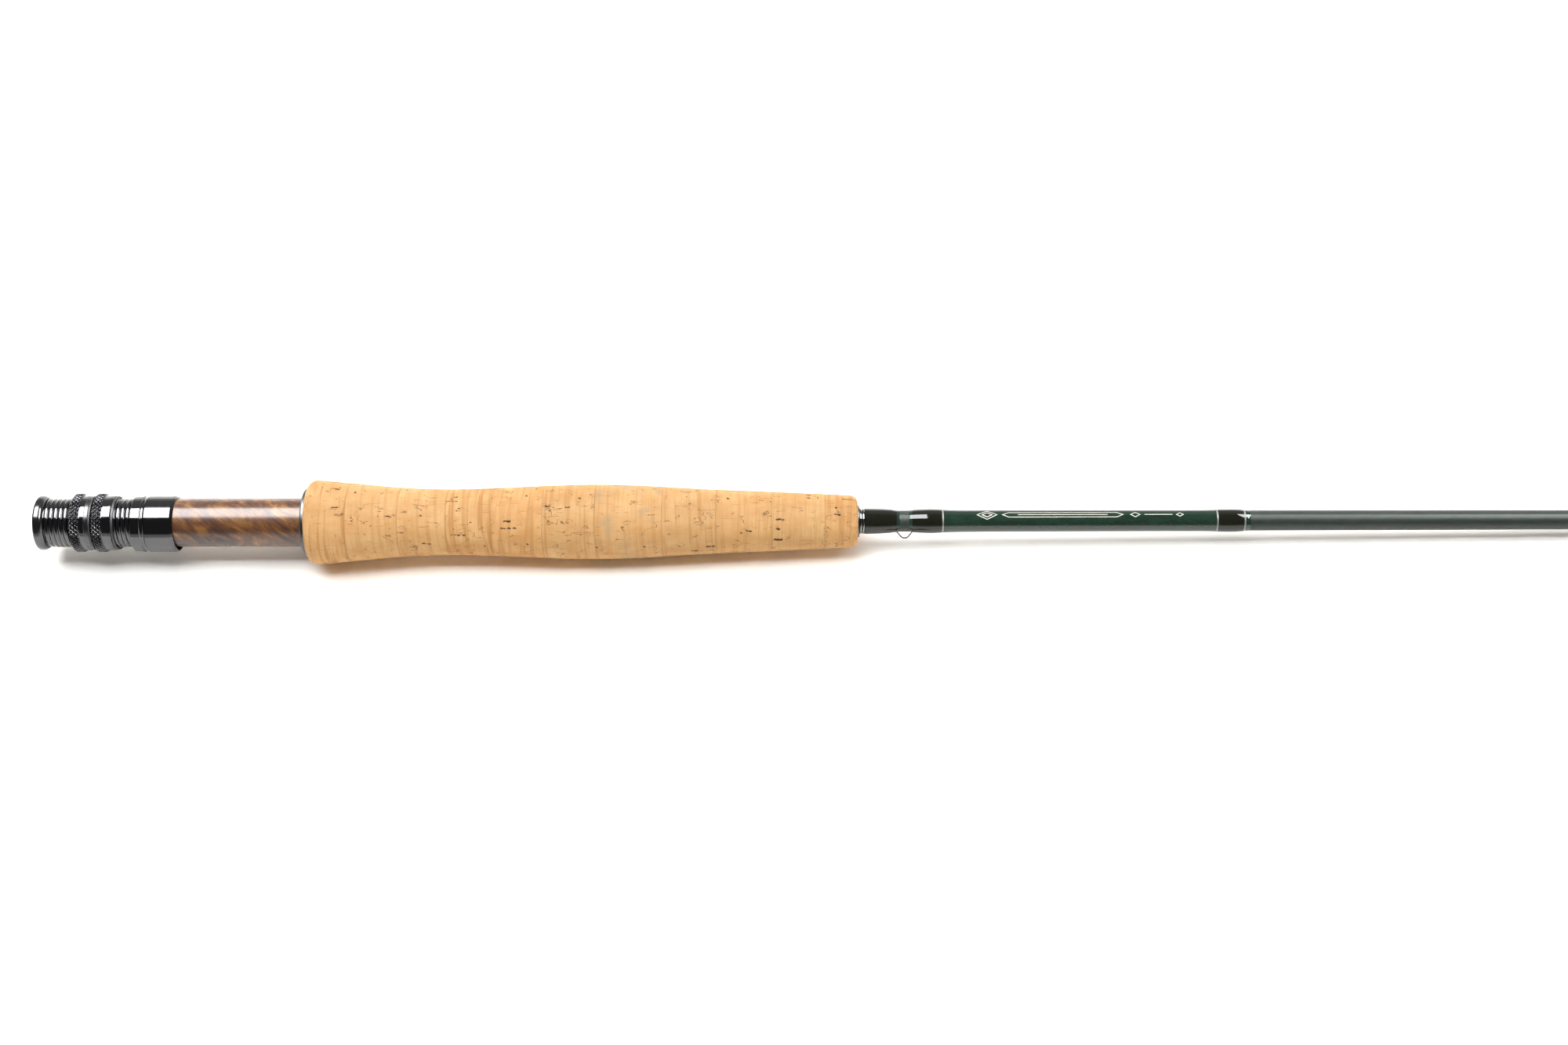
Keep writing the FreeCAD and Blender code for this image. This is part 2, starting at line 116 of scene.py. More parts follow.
# ---- ornament on the label panel ----
MARK_LIFT = 0.02
MARK_LINE = 0.24  # width of a line
MARK_STEP = 0.3  # spacing of a line's points
MARK_FIRST = 14.0  # middle of the first lozenge, from the panel's rear end
MARK_TUBE = (21.0, 56.0)  # straight part of the cartouche
MARK_TUBE_POINT = 2.0  # length of the cartouche's pointed ends
MARK_TUBE_HALF = 0.85  # half its height
MARK_TUBE_LINE = 3.0  # from the cartouche's ends to the line within
MARK_LAST = 74.0  # front end of the last line

# ---- studio ----
CAMERA_X = 241.6
CAMERA_DISTANCE = 707.8
CAMERA_ELEVATION = 57.0
CAMERA_DROP = 0.38  # how far the picture's centre is below the rod's axis
CAMERA_ROLL = -0.12
LENS = 50.0
SENSOR = 36.0
TABLE_HALF = 40.0  # metres
TABLE_GLOW = (0.9, 2.2, 1.6)  # metres where the table's white glow begins and is full, and its strength
LIGHT_HEIGHT = 1.0  # metres
SHINE_NEAR = -0.13  # metres, the softboxes' edges on the keeper's side and beyond the rod
LIGHT_NEAR = -0.2
LIGHT_FAR = 0.78
SHINE_RADIANCE = 22.0  # the softboxes as glossy surfaces show them
LIGHT_RADIANCE = 11.8  # the softboxes as sources of light
SOFTBOX_PARTS = (("shine", SHINE_RADIANCE, SHINE_NEAR), ("light", LIGHT_RADIANCE, LIGHT_NEAR))
ROOM_LIGHT = (0.08, 1.3)  # before and behind the rod
ROOM_TINT = (1, 0.93, 0.85)
FLOOR_COLOUR = (1.4, 1.39, 1.36)  # above 1, as an overexposed white table
WHITE = (1, 1, 1)
BLACK = (0, 0, 0)

# ---- colours of the pieces, linear red, green and blue, darker first where there are two ----
ANODISED = ((0.064, 0.064, 0.067), (0.078, 0.078, 0.08))
# the second, brighter colour is for the knurl's tips: rubbed wear and partly a painted glint
KNURL = ((0.03, 0.03, 0.032), (0.065, 0.065, 0.067))
BURL_STOPS = (  # place on the figure's scale, and the colour there
    (0.36, (0.020, 0.008, 0.004)),
    (0.45, (0.052, 0.018, 0.007)),
    (0.53, (0.092, 0.036, 0.010)),
    (0.61, (0.155, 0.068, 0.017)),
    (0.70, (0.270, 0.135, 0.036)),
)
BURL_PORE = (0.018, 0.008, 0.005)
CORK_LIGHT = ((0.52, 0.335, 0.158), (0.55, 0.325, 0.138))  # the coolest ring's and the warmest ring's
CORK_DEEP = ((0.44, 0.25, 0.1), (0.46, 0.24, 0.088))
CORK_LINE = (0.37, 0.185, 0.062)
CORK_FIBRE = (0.4, 0.21, 0.08)
CORK_DASH = (0.2, 0.09, 0.035)
CORK_CRACK = (0.1, 0.045, 0.02)
CORK_SPECK = (0.13, 0.06, 0.025)
CORK_GREY = (0.3, 0.235, 0.15)
CORK_PIT = ((0.018, 0.011, 0.007), (0.09, 0.045, 0.022))
CORK_JOINT = (0.2, 0.1, 0.04)
BLANK = ((0.011, 0.017, 0.014), (0.018, 0.025, 0.021))
LABEL = ((0.007, 0.017, 0.011), (0.01, 0.025, 0.016))
WRAP = ((0.004, 0.0045, 0.0025), (0.008, 0.0085, 0.005))
WRAP_FINISH = (0.010, 0.026, 0.018)
TRIM = ((0.09, 0.094, 0.09), (0.18, 0.184, 0.176))
NICKEL = (0.2, 0.21, 0.205)
KEEPER = (0.05, 0.043, 0.037)
NYLON = (0.01, 0.01, 0.01)
FOAM = (0.62, 0.55, 0.38)
DOT = (0.72, 0.72, 0.62)
INK = (0.62, 0.62, 0.55)


# ---------------------------------------------------------------- materials


class Nodes:
    """Short ways to add nodes to one node tree."""

    def __init__(self, tree):
        self.tree = tree

    def feed(self, node, inputs):
        """Sets a node's inputs, each to a value or from another node's output."""
        for name, value in inputs.items():
            if isinstance(value, bpy.types.NodeSocket):
                self.tree.links.new(value, node.inputs[name])
            else:
                node.inputs[name].default_value = value

    def add(self, kind, inputs, **settings):
        node = self.tree.nodes.new("ShaderNode" + kind)
        for name, value in settings.items():
            setattr(node, name, value)
        self.feed(node, inputs)
        return node

    def spread(self, value, low, high, out_low=0.0, out_high=1.0):
        """value from low..high to out_low..out_high, held at the ends."""
        inputs = {
            "Value": value,
            "From Min": low,
            "From Max": high,
            "To Min": out_low,
            "To Max": out_high,
        }
        return self.add("MapRange", inputs).outputs["Result"]

    def calculate(self, operation, a, b):
        return self.add("Math", {0: a, 1: b}, operation=operation).outputs[0]

    def choose(self, share, a, b):
        """Number a, going to b by share."""
        return self.add("Mix", {"Factor": share, "A": a, "B": b}).outputs[0]

    def mix(self, share, a, b):
        """Colour a, going to b by share."""
        inputs = {0: share, 6: colour(a), 7: colour(b)}
        return self.add("Mix", inputs, data_type="RGBA").outputs[2]


class Look(Nodes):
    """A Principled material and the nodes that drive it."""

    def __init__(self, name, inputs):
        self.material = bpy.data.materials.new(name)
        self.material.use_nodes = True
        super().__init__(self.material.node_tree)
        self.shader = self.tree.nodes["Principled BSDF"]
        self.feed(self.shader, inputs)

    def place(self, size, turn=(0, 0, 0), shift=0.0):
        """Coordinates on the object, in cells of that size along three axes turned by those degrees."""
        coords = self.add("TexCoord", {}).outputs["Object"]
        inputs = {
            "Vector": coords,
            "Location": (shift * MM, shift * MM, shift * MM),
            "Rotation": tuple(math.radians(a) for a in turn),
            "Scale": tuple(s * MM for s in size),
        }
        return self.add("Mapping", inputs, vector_type="TEXTURE").outputs[0]

    def noise(self, size, turn=(0, 0, 0), shift=0.0, detail=3.0, rough=0.55, warp=0.0):
        inputs = {
            "Vector": self.place(size, turn, shift),
            "Scale": 1.0,
            "Detail": detail,
            "Roughness": rough,
            "Distortion": warp,
        }
        return self.add("TexNoise", inputs).outputs["Fac"]

    def ramp(self, value, stops):
        node = self.add("ValToRGB", {0: value})
        band = node.color_ramp
        band.elements.remove(band.elements[1])
        band.elements[0].position, band.elements[0].color = stops[0][0], colour(stops[0][1])
        for position, tone in stops[1:]:
            band.elements.new(position).color = colour(tone)
        return node.outputs["Color"]

    def bump(self, height, distance):
        """Relief of that depth in millimetres."""
        inputs = {"Height": height, "Distance": distance * MM, "Strength": 1.0}
        self.feed(self.shader, {"Normal": self.add("Bump", inputs).outputs["Normal"]})

    def around(self):
        """Coordinates that run along the rod and out from its axis, for marks left by turning."""
        coords = self.add("TexCoord", {}).outputs["Object"]
        parts = self.add("SeparateXYZ", {0: coords}).outputs
        flat = self.add("CombineXYZ", {0: 0.0, 1: parts[1], 2: parts[2]}).outputs[0]
        reach = self.add("VectorMath", {0: flat}, operation="LENGTH").outputs["Value"]
        return self.add("CombineXYZ", {0: parts[0], 1: reach, 2: 0.0}).outputs[0]


def colour(value):
    """A colour's three numbers with an alpha, or a socket as it is."""
    return value if isinstance(value, bpy.types.NodeSocket) else (*value, 1.0)


def between(share, a, b):
    """The colour at that share of the way from a to b."""
    return tuple(one + share * (other - one) for one, other in zip(a, b))


def black_anodised(name, rough):
    """Polished aluminium, anodised black, with the faint rings that turning leaves."""
    look = Look(name, {"Metallic": 1.0})
    smudge = look.noise((6, 6, 6), detail=4)
    rings = {"Vector": look.around(), "Scale": 9000.0, "Detail": 2.0}
    marks = look.add("TexNoise", rings).outputs["Fac"]
    haze = look.spread(smudge, 0.3, 0.75, rough * 0.8, rough * 1.5)
    streak = look.spread(marks, 0.3, 0.7, 0.0, 0.03)
    look.feed(look.shader, {"Roughness": look.calculate("ADD", haze, streak)})
    look.feed(look.shader, {"Base Color": look.mix(smudge, *ANODISED)})
    look.bump(marks, 0.0012)
    return look.material


def knurled_anodised():
    """The same black finish on the nuts, brighter on the knurl's tips: partly rubbed wear, partly a painted
    glint.
    """
    look = Look("anodised_knurl", {"Metallic": 1.0})
    tip = look.add("Attribute", {}, attribute_name="tip").outputs["Fac"]
    # tips painted brighter: partly rubbed wear, partly a painted glint
    wear_and_glint = look.calculate("MULTIPLY", tip, look.spread(look.noise((2.5, 2.5, 2.5)), 0.4, 0.7))
    look.feed(look.shader, {"Base Color": look.mix(wear_and_glint, *KNURL)})
    look.feed(look.shader, {"Roughness": look.spread(look.noise((1.2, 1.2, 1.2)), 0.3, 0.7, 0.1, 0.2)})
    return look.material


def burl_wood():
    """Lacquered burl: swirling dark and golden figure that leans across the insert, with fine pores."""
    lacquer = {"Coat Weight": 0.75, "Coat Roughness": 0.24, "Coat IOR": 1.5}
    look = Look("burl_wood", {"Roughness": 0.6, "Specular IOR Level": 0.1, **lacquer})
    lean = (0, 22, -32)
    swirl = look.noise((15, 5.5, 5.5), lean, 3.0, detail=4, rough=0.52, warp=1.7)
    streak = look.noise((10, 1.9, 1.9), lean, 11.0, detail=3, rough=0.55, warp=0.8)
    cloud = look.noise((16, 9, 9), lean, 27.0, detail=2)
    broad = look.calculate("MULTIPLY", swirl, 0.62)
    fine = look.calculate("MULTIPLY", streak, 0.38)
    figure = look.calculate("ADD", broad, fine)
    figure = look.calculate("ADD", figure, look.spread(cloud, 0.3, 0.7, -0.07, 0.07))
    pores = look.spread(look.noise((0.9, 0.22, 0.22), lean, detail=2), 0.6, 0.72)
    look.feed(look.shader, {"Base Color": look.mix(pores, look.ramp(figure, BURL_STOPS), BURL_PORE)})
    look.bump(pores, -0.01)
    return look.material


def cork(number):
    """Bare sanded cork of one ring: growth lines round the grip, hairline cracks along it and dark pits."""
    draw = np.random.default_rng(500 + number)
    shift = 40.0 * number
    lean = tuple(draw.uniform(-4, 4, 3))
    look = Look(f"cork_{number:02d}", {"Roughness": 0.75, "Specular IOR Level": 0.12})
    warm = draw.uniform(0.0, 1.0)
    cloud = look.spread(look.noise((9, 6, 6), lean, shift), 0.32, 0.7)
    tone = look.mix(cloud, between(warm, *CORK_LIGHT), between(warm, *CORK_DEEP))
    lines = look.noise((draw.uniform(1.0, 1.8), 30, 30), lean, shift, rough=0.6, warp=0.3)
    tone = look.mix(look.spread(lines, 0.5, 0.62, 0, draw.uniform(0.35, 0.95)), tone, CORK_LINE)
    fibre = look.noise((0.25, 11, 11), lean, shift, detail=2)
    tone = look.mix(look.spread(fibre, 0.45, 0.7, 0, 0.45), tone, CORK_FIBRE)
    dash = look.noise((5.5, 0.4, 0.4), lean, shift, detail=2, rough=0.45)
    tone = look.mix(look.spread(dash, 0.67, 0.75, 0, 0.65), tone, CORK_DASH)
    path = look.noise((7, 2.6, 2.6), lean, shift + 9, detail=3, rough=0.5, warp=0.7)
    reach = look.calculate("ABSOLUTE", look.calculate("SUBTRACT", path, 0.5), 0.0)
    some = look.spread(look.noise((5, 3, 3), lean, shift + 17, detail=1), 0.53, 0.6)
    crack = look.calculate("MULTIPLY", look.spread(reach, 0.0, 0.016, 1.0, 0.0), some)
    tone = look.mix(crack, tone, CORK_CRACK)
    speck = look.spread(look.noise((0.6, 0.45, 0.45), lean, shift + 31, detail=1), 0.76, 0.8, 0, 0.7)
    tone = look.mix(speck, tone, CORK_SPECK)
    if number == GREY_RING:
        patch = look.noise((8, 7, 7), lean, shift + 5, detail=2)
        tone = look.mix(look.spread(patch, 0.5, 0.66, 0, 0.55), tone, CORK_GREY)
    pit = look.add("Attribute", {}, attribute_name="pit").outputs["Fac"]
    hollow = look.mix(look.noise((0.45, 0.45, 0.45), shift=shift), *CORK_PIT)
    tone = look.mix(look.spread(pit, 0.02, 0.35), tone, hollow)
    joint = look.add("Attribute", {}, attribute_name="joint").outputs["Fac"]
    tone = look.mix(look.calculate("MULTIPLY", joint, 0.4), tone, CORK_JOINT)
    look.feed(look.shader, {"Base Color": tone})
    grain = look.noise((0.16, 0.3, 0.3), lean, shift)
    look.bump(look.calculate("SUBTRACT", grain, crack), 0.04)
    return look.material


def blank_paint(name, inputs, deep, pale):
    """Grey-green finish over graphite, with a faint mottle from the cloth below."""
    look = Look(name, inputs)
    mottle = look.noise((5, 1.6, 1.6), detail=4)
    weave = look.noise((0.7, 0.25, 0.25), detail=2)
    tone = look.mix(look.spread(mottle, 0.35, 0.65), deep, pale)
    tone = look.mix(look.spread(weave, 0.45, 0.7, 0, 0.35), tone, deep)
    look.feed(look.shader, {"Base Color": tone})
    return look, weave


def bare_blank():
    look, weave = blank_paint("blank_satin", {"Roughness": 0.42, "Specular IOR Level": 0.34}, *BLANK)
    look.bump(weave, 0.004)
    return look.material


def label_gloss():
    gloss = {"Specular IOR Level": 0.0, "Coat Weight": 1.0, "Coat Roughness": 0.03}
    return blank_paint("label_gloss", gloss, *LABEL)[0].material


def thread_wrap(name, thread_end=None, finish_start=None):
    """Dark thread under clear finish, which goes over to the finish alone between those places on the rod."""
    look = Look(name, {"Specular IOR Level": 0.0, "Coat Weight": 0.75, "Coat Roughness": 0.04})
    spots = look.place((1, 1, 1))
    wave = {"Vector": spots, "Scale": 1.1, "Distortion": 0.4, "Detail": 1.0}
    turns = look.add("TexWave", wave, bands_direction="X").outputs["Fac"]
    tone = look.mix(look.spread(turns, 0.2, 0.9), *WRAP)
    if thread_end is not None:
        along = look.add("SeparateXYZ", {0: spots}).outputs[0]
        tone = look.mix(look.spread(along, thread_end, finish_start), tone, WRAP_FINISH)
    look.feed(look.shader, {"Base Color": tone})
    return look.material


def metallic_thread():
    varnish = {"Coat Weight": 1.0, "Coat Roughness": 0.05}
    look = Look("metallic_thread", {"Metallic": 0.4, "Roughness": 0.5, **varnish})
    strand = look.noise((0.12, 0.8, 0.8), detail=2)
    look.feed(look.shader, {"Base Color": look.mix(strand, *TRIM)})
    look.bump(strand, 0.02)
    return look.material


def bright_metal(name, tone, rough):
    look = Look(name, {"Metallic": 1.0})
    rub = look.noise((0.35, 2, 2), detail=3)
    look.feed(look.shader, {"Base Color": look.mix(rub, between(0.2, tone, BLACK), tone)})
    look.feed(look.shader, {"Roughness": look.spread(rub, 0.3, 0.7, rough * 0.7, rough * 1.4)})
    return look.material


def moulded(name, tone, rough, grain=0.006):
    look = Look(name, {})
    speck = look.noise((0.4, 0.4, 0.4), detail=3)
    look.feed(look.shader, {"Base Color": look.mix(speck, between(0.2, tone, BLACK), tone)})
    look.feed(look.shader, {"Roughness": look.spread(speck, 0.3, 0.7, rough * 0.85, rough * 1.15)})
    look.bump(speck, grain)
    return look.material


# ---------------------------------------------------------------- meshes


def piece_from(name, points, faces, sharp=SHARP):
    """An object of those points, in millimetres, smooth but for edges sharper than the angle in degrees."""
    mesh = bpy.data.meshes.new(name)
    mesh.from_pydata((np.asarray(points) * MM).tolist(), [], faces)
    form = bmesh.new()
    form.from_mesh(mesh)
    bmesh.ops.recalc_face_normals(form, faces=form.faces)
    form.to_mesh(mesh)
    form.free()
    shade(mesh, sharp)
    piece = bpy.data.objects.new(name, mesh)
    bpy.context.scene.collection.objects.link(piece)
    return piece


def shade(mesh, sharp):
    """Shades a mesh smooth, but for edges sharper than the angle in degrees."""
    mesh.polygons.foreach_set("use_smooth", [True] * len(mesh.polygons))
    mesh.set_sharp_from_angle(angle=math.radians(sharp))


def stand_for(piece, node, material):
    """Dresses a finished piece and puts it in the place of its CAD node, on the same body."""
    piece.data.materials.append(material)
    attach(piece, body_of_node(node))
    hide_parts(node)


def body_of_node(node):
    groups = frame["record"]["behaviour"]["bodies"]
    return next(body for body, members in groups.items() if node in members)


def span(node):
    """A node's first and last place along the rod."""
    low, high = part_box(node)
    return low.x / MM, high.x / MM


def turned(name, outline, columns, relief=None, sharp=SHARP):
    """A ring: a closed outline of (x, radius) turned about the rod's axis.

    relief, a function of (x, angle, radius), changes each point's radius.
    """
    outline = np.asarray(outline, float)
    angle = np.arange(columns) * 2 * math.pi / columns
    x = np.repeat(outline[:, :1], columns, axis=1)
    radius = np.repeat(outline[:, 1:], columns, axis=1)
    if relief is not None:
        radius = relief(x, np.broadcast_to(angle, x.shape), radius)
    points = np.stack([x, radius * np.cos(angle), radius * np.sin(angle)], axis=-1).reshape(-1, 3)
    rows = len(outline)
    faces = []
    for row in range(rows):
        above, below = row * columns, (row + 1) % rows * columns
        for column in range(columns):
            after = (column + 1) % columns
            faces.append((above + column, below + column, below + after, above + after))
    return piece_from(name, points, faces, sharp)


def steps(start, end, size):
    """Evenly spaced values from start to end, about size apart."""
    return np.linspace(start, end, max(2, round(abs(end - start) / size) + 1))


def add_attribute(piece, name, values):
    layer = piece.data.attributes.new(name, "FLOAT", "POINT")
    layer.data.foreach_set("value", np.asarray(values, np.float32).ravel())


def threaded_barrel():
    """The barrel with its thread as one helix, which runs out at both ends."""
    node = "threaded_barrel"
    start, end = span(node)
    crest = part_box(node)[1].z / MM
    root = crest - THREAD_DEPTH
    profile = [(0.0, root)]
    for share in np.linspace(-1, 1, THREAD_CROWN_POINTS):
        across = (THREAD_PITCH - THREAD_GROOVE) / 2 * share
        profile.append((THREAD_PITCH / 2 + across, crest - THREAD_ROUND * share * share))
    turns = math.ceil((end - start) / THREAD_PITCH) + 1
    stations = turns * THREAD_COLUMNS
    points = []
    for station in range(stations + 1):
        turn = station / THREAD_COLUMNS
        angle = 2 * math.pi * turn
        for offset, radius in profile:
            x = start + THREAD_PHASE + THREAD_PITCH * (turn - 1) + offset
            x = min(max(x, start), end)
            share = min(1.0, min(x - start, end - x) / THREAD_RUNOUT)
            r = root + (radius - root) * share
            points.append((x, r * math.cos(angle), r * math.sin(angle)))
    count = len(profile)
    faces = []
    for station in range(stations):
        here, ahead = station * count, (station + 1) * count
        for k in range(count - 1):
            faces.append((here + k, here + k + 1, ahead + k + 1, ahead + k))
        below, below_ahead = here + THREAD_COLUMNS * count, ahead + THREAD_COLUMNS * count
        if below_ahead < len(points):
            faces.append((here + count - 1, below, below_ahead, ahead + count - 1))
    piece = piece_from("threaded_barrel_helix", points, faces)
    close_tube(piece.data)
    stand_for(piece, node, black_anodised("anodised_thread", 0.09))


def close_tube(mesh):
    """Merges the helix's points that coincide and closes the tube with end faces and the barrel's bore."""
    form = bmesh.new()
    form.from_mesh(mesh)
    bmesh.ops.remove_doubles(form, verts=form.verts, dist=1e-7)
    bmesh.ops.dissolve_degenerate(form, dist=1e-8, edges=form.edges)
    rims = [e for e in form.edges if e.is_boundary]
    inner = bmesh.ops.extrude_edge_only(form, edges=rims)["geom"]
    for vert in (v for v in inner if isinstance(v, bmesh.types.BMVert)):
        scale = BARREL_BORE_R * MM / math.hypot(vert.co.y, vert.co.z)
        vert.co.y *= scale
        vert.co.z *= scale
    bmesh.ops.bridge_loops(form, edges=[e for e in form.edges if e.is_boundary])
    bmesh.ops.recalc_face_normals(form, faces=form.faces)
    form.to_mesh(mesh)
    form.free()
    shade(mesh, SHARP)


def lock_nut(node):
    """Ring nut with cut diamonds round its rear half and a plain band in front."""
    start, end = span(node)
    knurl_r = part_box(node)[1].z / MM
    knurl_end = start + NUT_KNURL_LENGTH
    nose = NUT_NOSE_R[node]
    middle = (knurl_end + end) / 2
    knurl_x = steps(start, knurl_end, KNURL_STEP)
    chamfer = np.clip(1 - np.minimum(knurl_x - start, knurl_end - knurl_x) / NUT_CHAMFER, 0, 1)
    crown = knurl_r - chamfer * np.where(knurl_x < start + NUT_KNURL_LENGTH / 2, *KNURL_EDGE_DROP)
    band = (
        (knurl_end + KNURL_BAND_GAP, NUT_BAND_R),
        (middle, NUT_BAND_R),
        (middle + BAND_STEP_LENGTH, (NUT_BAND_R + nose) / 2),
        (end - NUT_CHAMFER, nose),
        (end - NUT_CHAMFER * 0.35, nose - NUT_CHAMFER * 0.3),
        (end, nose - NUT_CHAMFER),
        (end, NUT_BORE_R),
        (start, NUT_BORE_R),
    )

    def depth(x, angle):
        """How deep the two families of knurl grooves cut here, from 0 on the tips to 1."""
        across = angle * KNURL_COUNT / (2 * math.pi)
        along = (x - start) / KNURL_CELL
        one = np.abs((across + along) % 1 - 0.5) * 2
        other = np.abs((across - along) % 1 - 0.5) * 2
        return np.clip((np.maximum(one, other) - KNURL_FLAT) / (1 - KNURL_FLAT), 0, 1)

    def relief(x, angle, radius):
        knurled = (x < knurl_end) & (radius > NUT_BORE_R + 0.2)
        cut = knurl_r - KNURL_DEPTH * depth(x, angle)
        return np.where(knurled, np.minimum(radius, cut), radius)

    outline = [*zip(knurl_x, crown), *band]
    piece = turned(node + "_knurled", outline, KNURL_COUNT * KNURL_COLUMNS, relief, KNURL_SHARP)
    spots = np.array([v.co for v in piece.data.vertices]) / MM
    spread = 1 - depth(spots[:, 0], np.arctan2(spots[:, 2], spots[:, 1]))
    # how near each point is to a knurl tip; the material paints the tips brighter, as wear and partly a
    # painted glint
    tip = np.where(spots[:, 0] < knurl_end - 0.1, spread, 0.0)
    add_attribute(piece, "tip", tip**2)
    stand_for(piece, node, knurled_anodised())
    for name, rough in NUT_FINISH[node]:
        piece.data.materials.append(black_anodised(name, rough))
    for face in piece.data.polygons:
        x = face.center.x / MM
        face.material_index = 0 if x < knurl_end + 0.1 else 1 if x < middle else 2


def winding_check():
    """The check as a row of rounded beads."""
    node = "winding_check"
    start, end = span(node)
    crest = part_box(node)[1].z / MM
    bore = min(math.hypot(v.co.y, v.co.z) for v in frame["nodes"][node].data.vertices) / MM
    outline = []
    for beads in np.linspace(0, BEAD_COUNT, BEAD_COUNT * BEAD_POINTS + 1):
        across = 2 * (beads % 1) - 1
        outline.append((start + (end - start) * beads / BEAD_COUNT, crest - BEAD_DEPTH * across * across))
    piece = turned("winding_check_beads", [*outline, (end, bore), (start, bore)], BEAD_COLUMNS)
    stand_for(piece, node, bright_metal("nickel_silver", NICKEL, 0.1))


def grip_profile():
    """The grip's radius at any place along it, through points read from the CAD rings' outer surface."""
    spots = np.concatenate([outer_points(ring_node(n)) for n in range(1, CORK_RING_COUNT + 1)])
    spots = spots[np.argsort(spots[:, 0])]
    places, radii = [spots[0, 0]], [spots[0, 1]]
    for x, radius in spots:
        if x - places[-1] > GRIP_READ_STEP:
            places.append(x)
            radii.append(radius)
    places, radii = np.array(places), np.array(radii)
    slopes = np.gradient(radii, places)
    start = span(ring_node(1))[0]
    end = span(ring_node(CORK_RING_COUNT))[1]

    def radius_at(x):
        x = np.asarray(x, float)
        inside = np.clip(x, start + GRIP_REAR_ROUND, end - GRIP_FRONT_ROUND)
        k = np.clip(np.searchsorted(places, inside) - 1, 0, len(places) - 2)
        gap = places[k + 1] - places[k]
        t = np.clip((inside - places[k]) / gap, 0, 1)
        smooth = (
            (1 + 2 * t) * (1 - t) ** 2 * radii[k]
            + t * (1 - t) ** 2 * gap * slopes[k]
            + t * t * (3 - 2 * t) * radii[k + 1]
            + t * t * (t - 1) * gap * slopes[k + 1]
        )
        rear = np.clip(start + GRIP_REAR_ROUND - x, 0, GRIP_REAR_ROUND)
        front = np.clip(x - end + GRIP_FRONT_ROUND, 0, GRIP_FRONT_ROUND)
        drop = GRIP_REAR_ROUND - np.sqrt(GRIP_REAR_ROUND**2 - rear**2)
        return smooth - drop - GRIP_FRONT_ROUND + np.sqrt(GRIP_FRONT_ROUND**2 - front**2)

    return radius_at


def ring_node(number):
    return f"cork_ring_{number:02d}"


def outer_points(node):
    """(x, radius) of a ring's outer surface, away from the grip's rounded ends."""
    spots = np.array([v.co for v in frame["nodes"][node].data.vertices]) / MM
    radius = np.hypot(spots[:, 1], spots[:, 2])
    grip_start, grip_end = span(ring_node(1))[0], span(ring_node(CORK_RING_COUNT))[1]
    outside = radius > 0.8 * radius.max()
    inside = (spots[:, 0] > grip_start + GRIP_REAR_ROUND) & (spots[:, 0] < grip_end - GRIP_FRONT_ROUND)
    keep = outside & inside
    return np.stack([spots[keep, 0], radius[keep]], axis=-1)


def pit_field(number, start, end, girth):
    """The pits of one cork ring, in runs of small hollows, as a function of (x, arc) with depths up to 1."""
    draw = np.random.default_rng(40 + number)
    hollows = []
    for _ in range(draw.integers(*PIT_RUNS)):
        x, arc = draw.uniform(start + 0.6, end - 0.6), draw.uniform(0, girth)
        length = draw.choice(PIT_RUN_LENGTHS, p=PIT_RUN_SHARES)
        size = draw.uniform(*PIT_SIZE)
        for share in steps(-0.5, 0.5, PIT_STEP / max(length, PIT_STEP)):
            if draw.random() < PIT_KEPT:
                hollows.append(
                    (
                        min(max(x + share * length + draw.normal(0, 0.08), start), end),
                        arc + draw.normal(0, 0.1),
                        size * draw.uniform(0.6, 1.25),
                        size * draw.uniform(0.35, 0.8),
                        draw.uniform(0.35, 1.0),
                    )
                )

    def depth(x, arc):
        total = np.zeros_like(x)
        for place, side, wide, tall, deep in hollows:
            across = (arc - side + girth / 2) % girth - girth / 2
            total = np.maximum(total, deep * (1 - ((x - place) / wide) ** 2 - (across / tall) ** 2))
        return total

    return depth


def cork_ring(number, radius_at):
    """One ring of the grip, with pits sunk into its surface and a hairline groove at each glued face."""
    node = ring_node(number)
    start, end = span(node)
    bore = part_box("blank")[1].z / MM
    x = ring_places(number, start, end)
    girth = 2 * math.pi * float(np.max(radius_at(x)))
    pits = pit_field(number, start, end, girth)
    first, last = number == 1, number == CORK_RING_COUNT

    def at_joint(x):
        """How near a glued face is, from 0 to 1."""
        rear = 0 if first else np.clip(1 - (x - start) / CORK_JOINT_WIDTH, 0, 1)
        front = 0 if last else np.clip(1 - (end - x) / CORK_JOINT_WIDTH, 0, 1)
        return np.maximum(rear, front)

    def relief(x, angle, radius):
        """Sinks pits and joints into the outside, but not into the bore or the cork hood's seat."""
        outside = radius > (CORK_HOOD_R + 0.5 if first else bore + 1.5)
        arc = angle * girth / (2 * math.pi)
        sunk = PIT_DEPTH * np.clip(pits(x, arc), 0, 1) + CORK_JOINT_DEPTH * at_joint(x) ** 2
        return np.where(outside, radius - sunk, radius)

    outline = list(zip(x, radius_at(x)))
    if first:
        hood_end = span("cork_hood")[1]
        outline += [(end, bore), (hood_end, bore), (hood_end, CORK_HOOD_R), (start, CORK_HOOD_R)]
    else:
        outline += [(end, bore), (start, bore)]
    piece = turned(f"cork_{number:02d}", outline, round(girth / CORK_STEP), relief, CORK_SHARP)
    spots = np.array([v.co for v in piece.data.vertices]) / MM
    arc = (np.arctan2(spots[:, 2], spots[:, 1]) % (2 * math.pi)) * girth / (2 * math.pi)
    add_attribute(piece, "pit", np.clip(pits(spots[:, 0], arc), 0, 1))
    add_attribute(piece, "joint", at_joint(spots[:, 0]))
    stand_for(piece, node, cork(number))


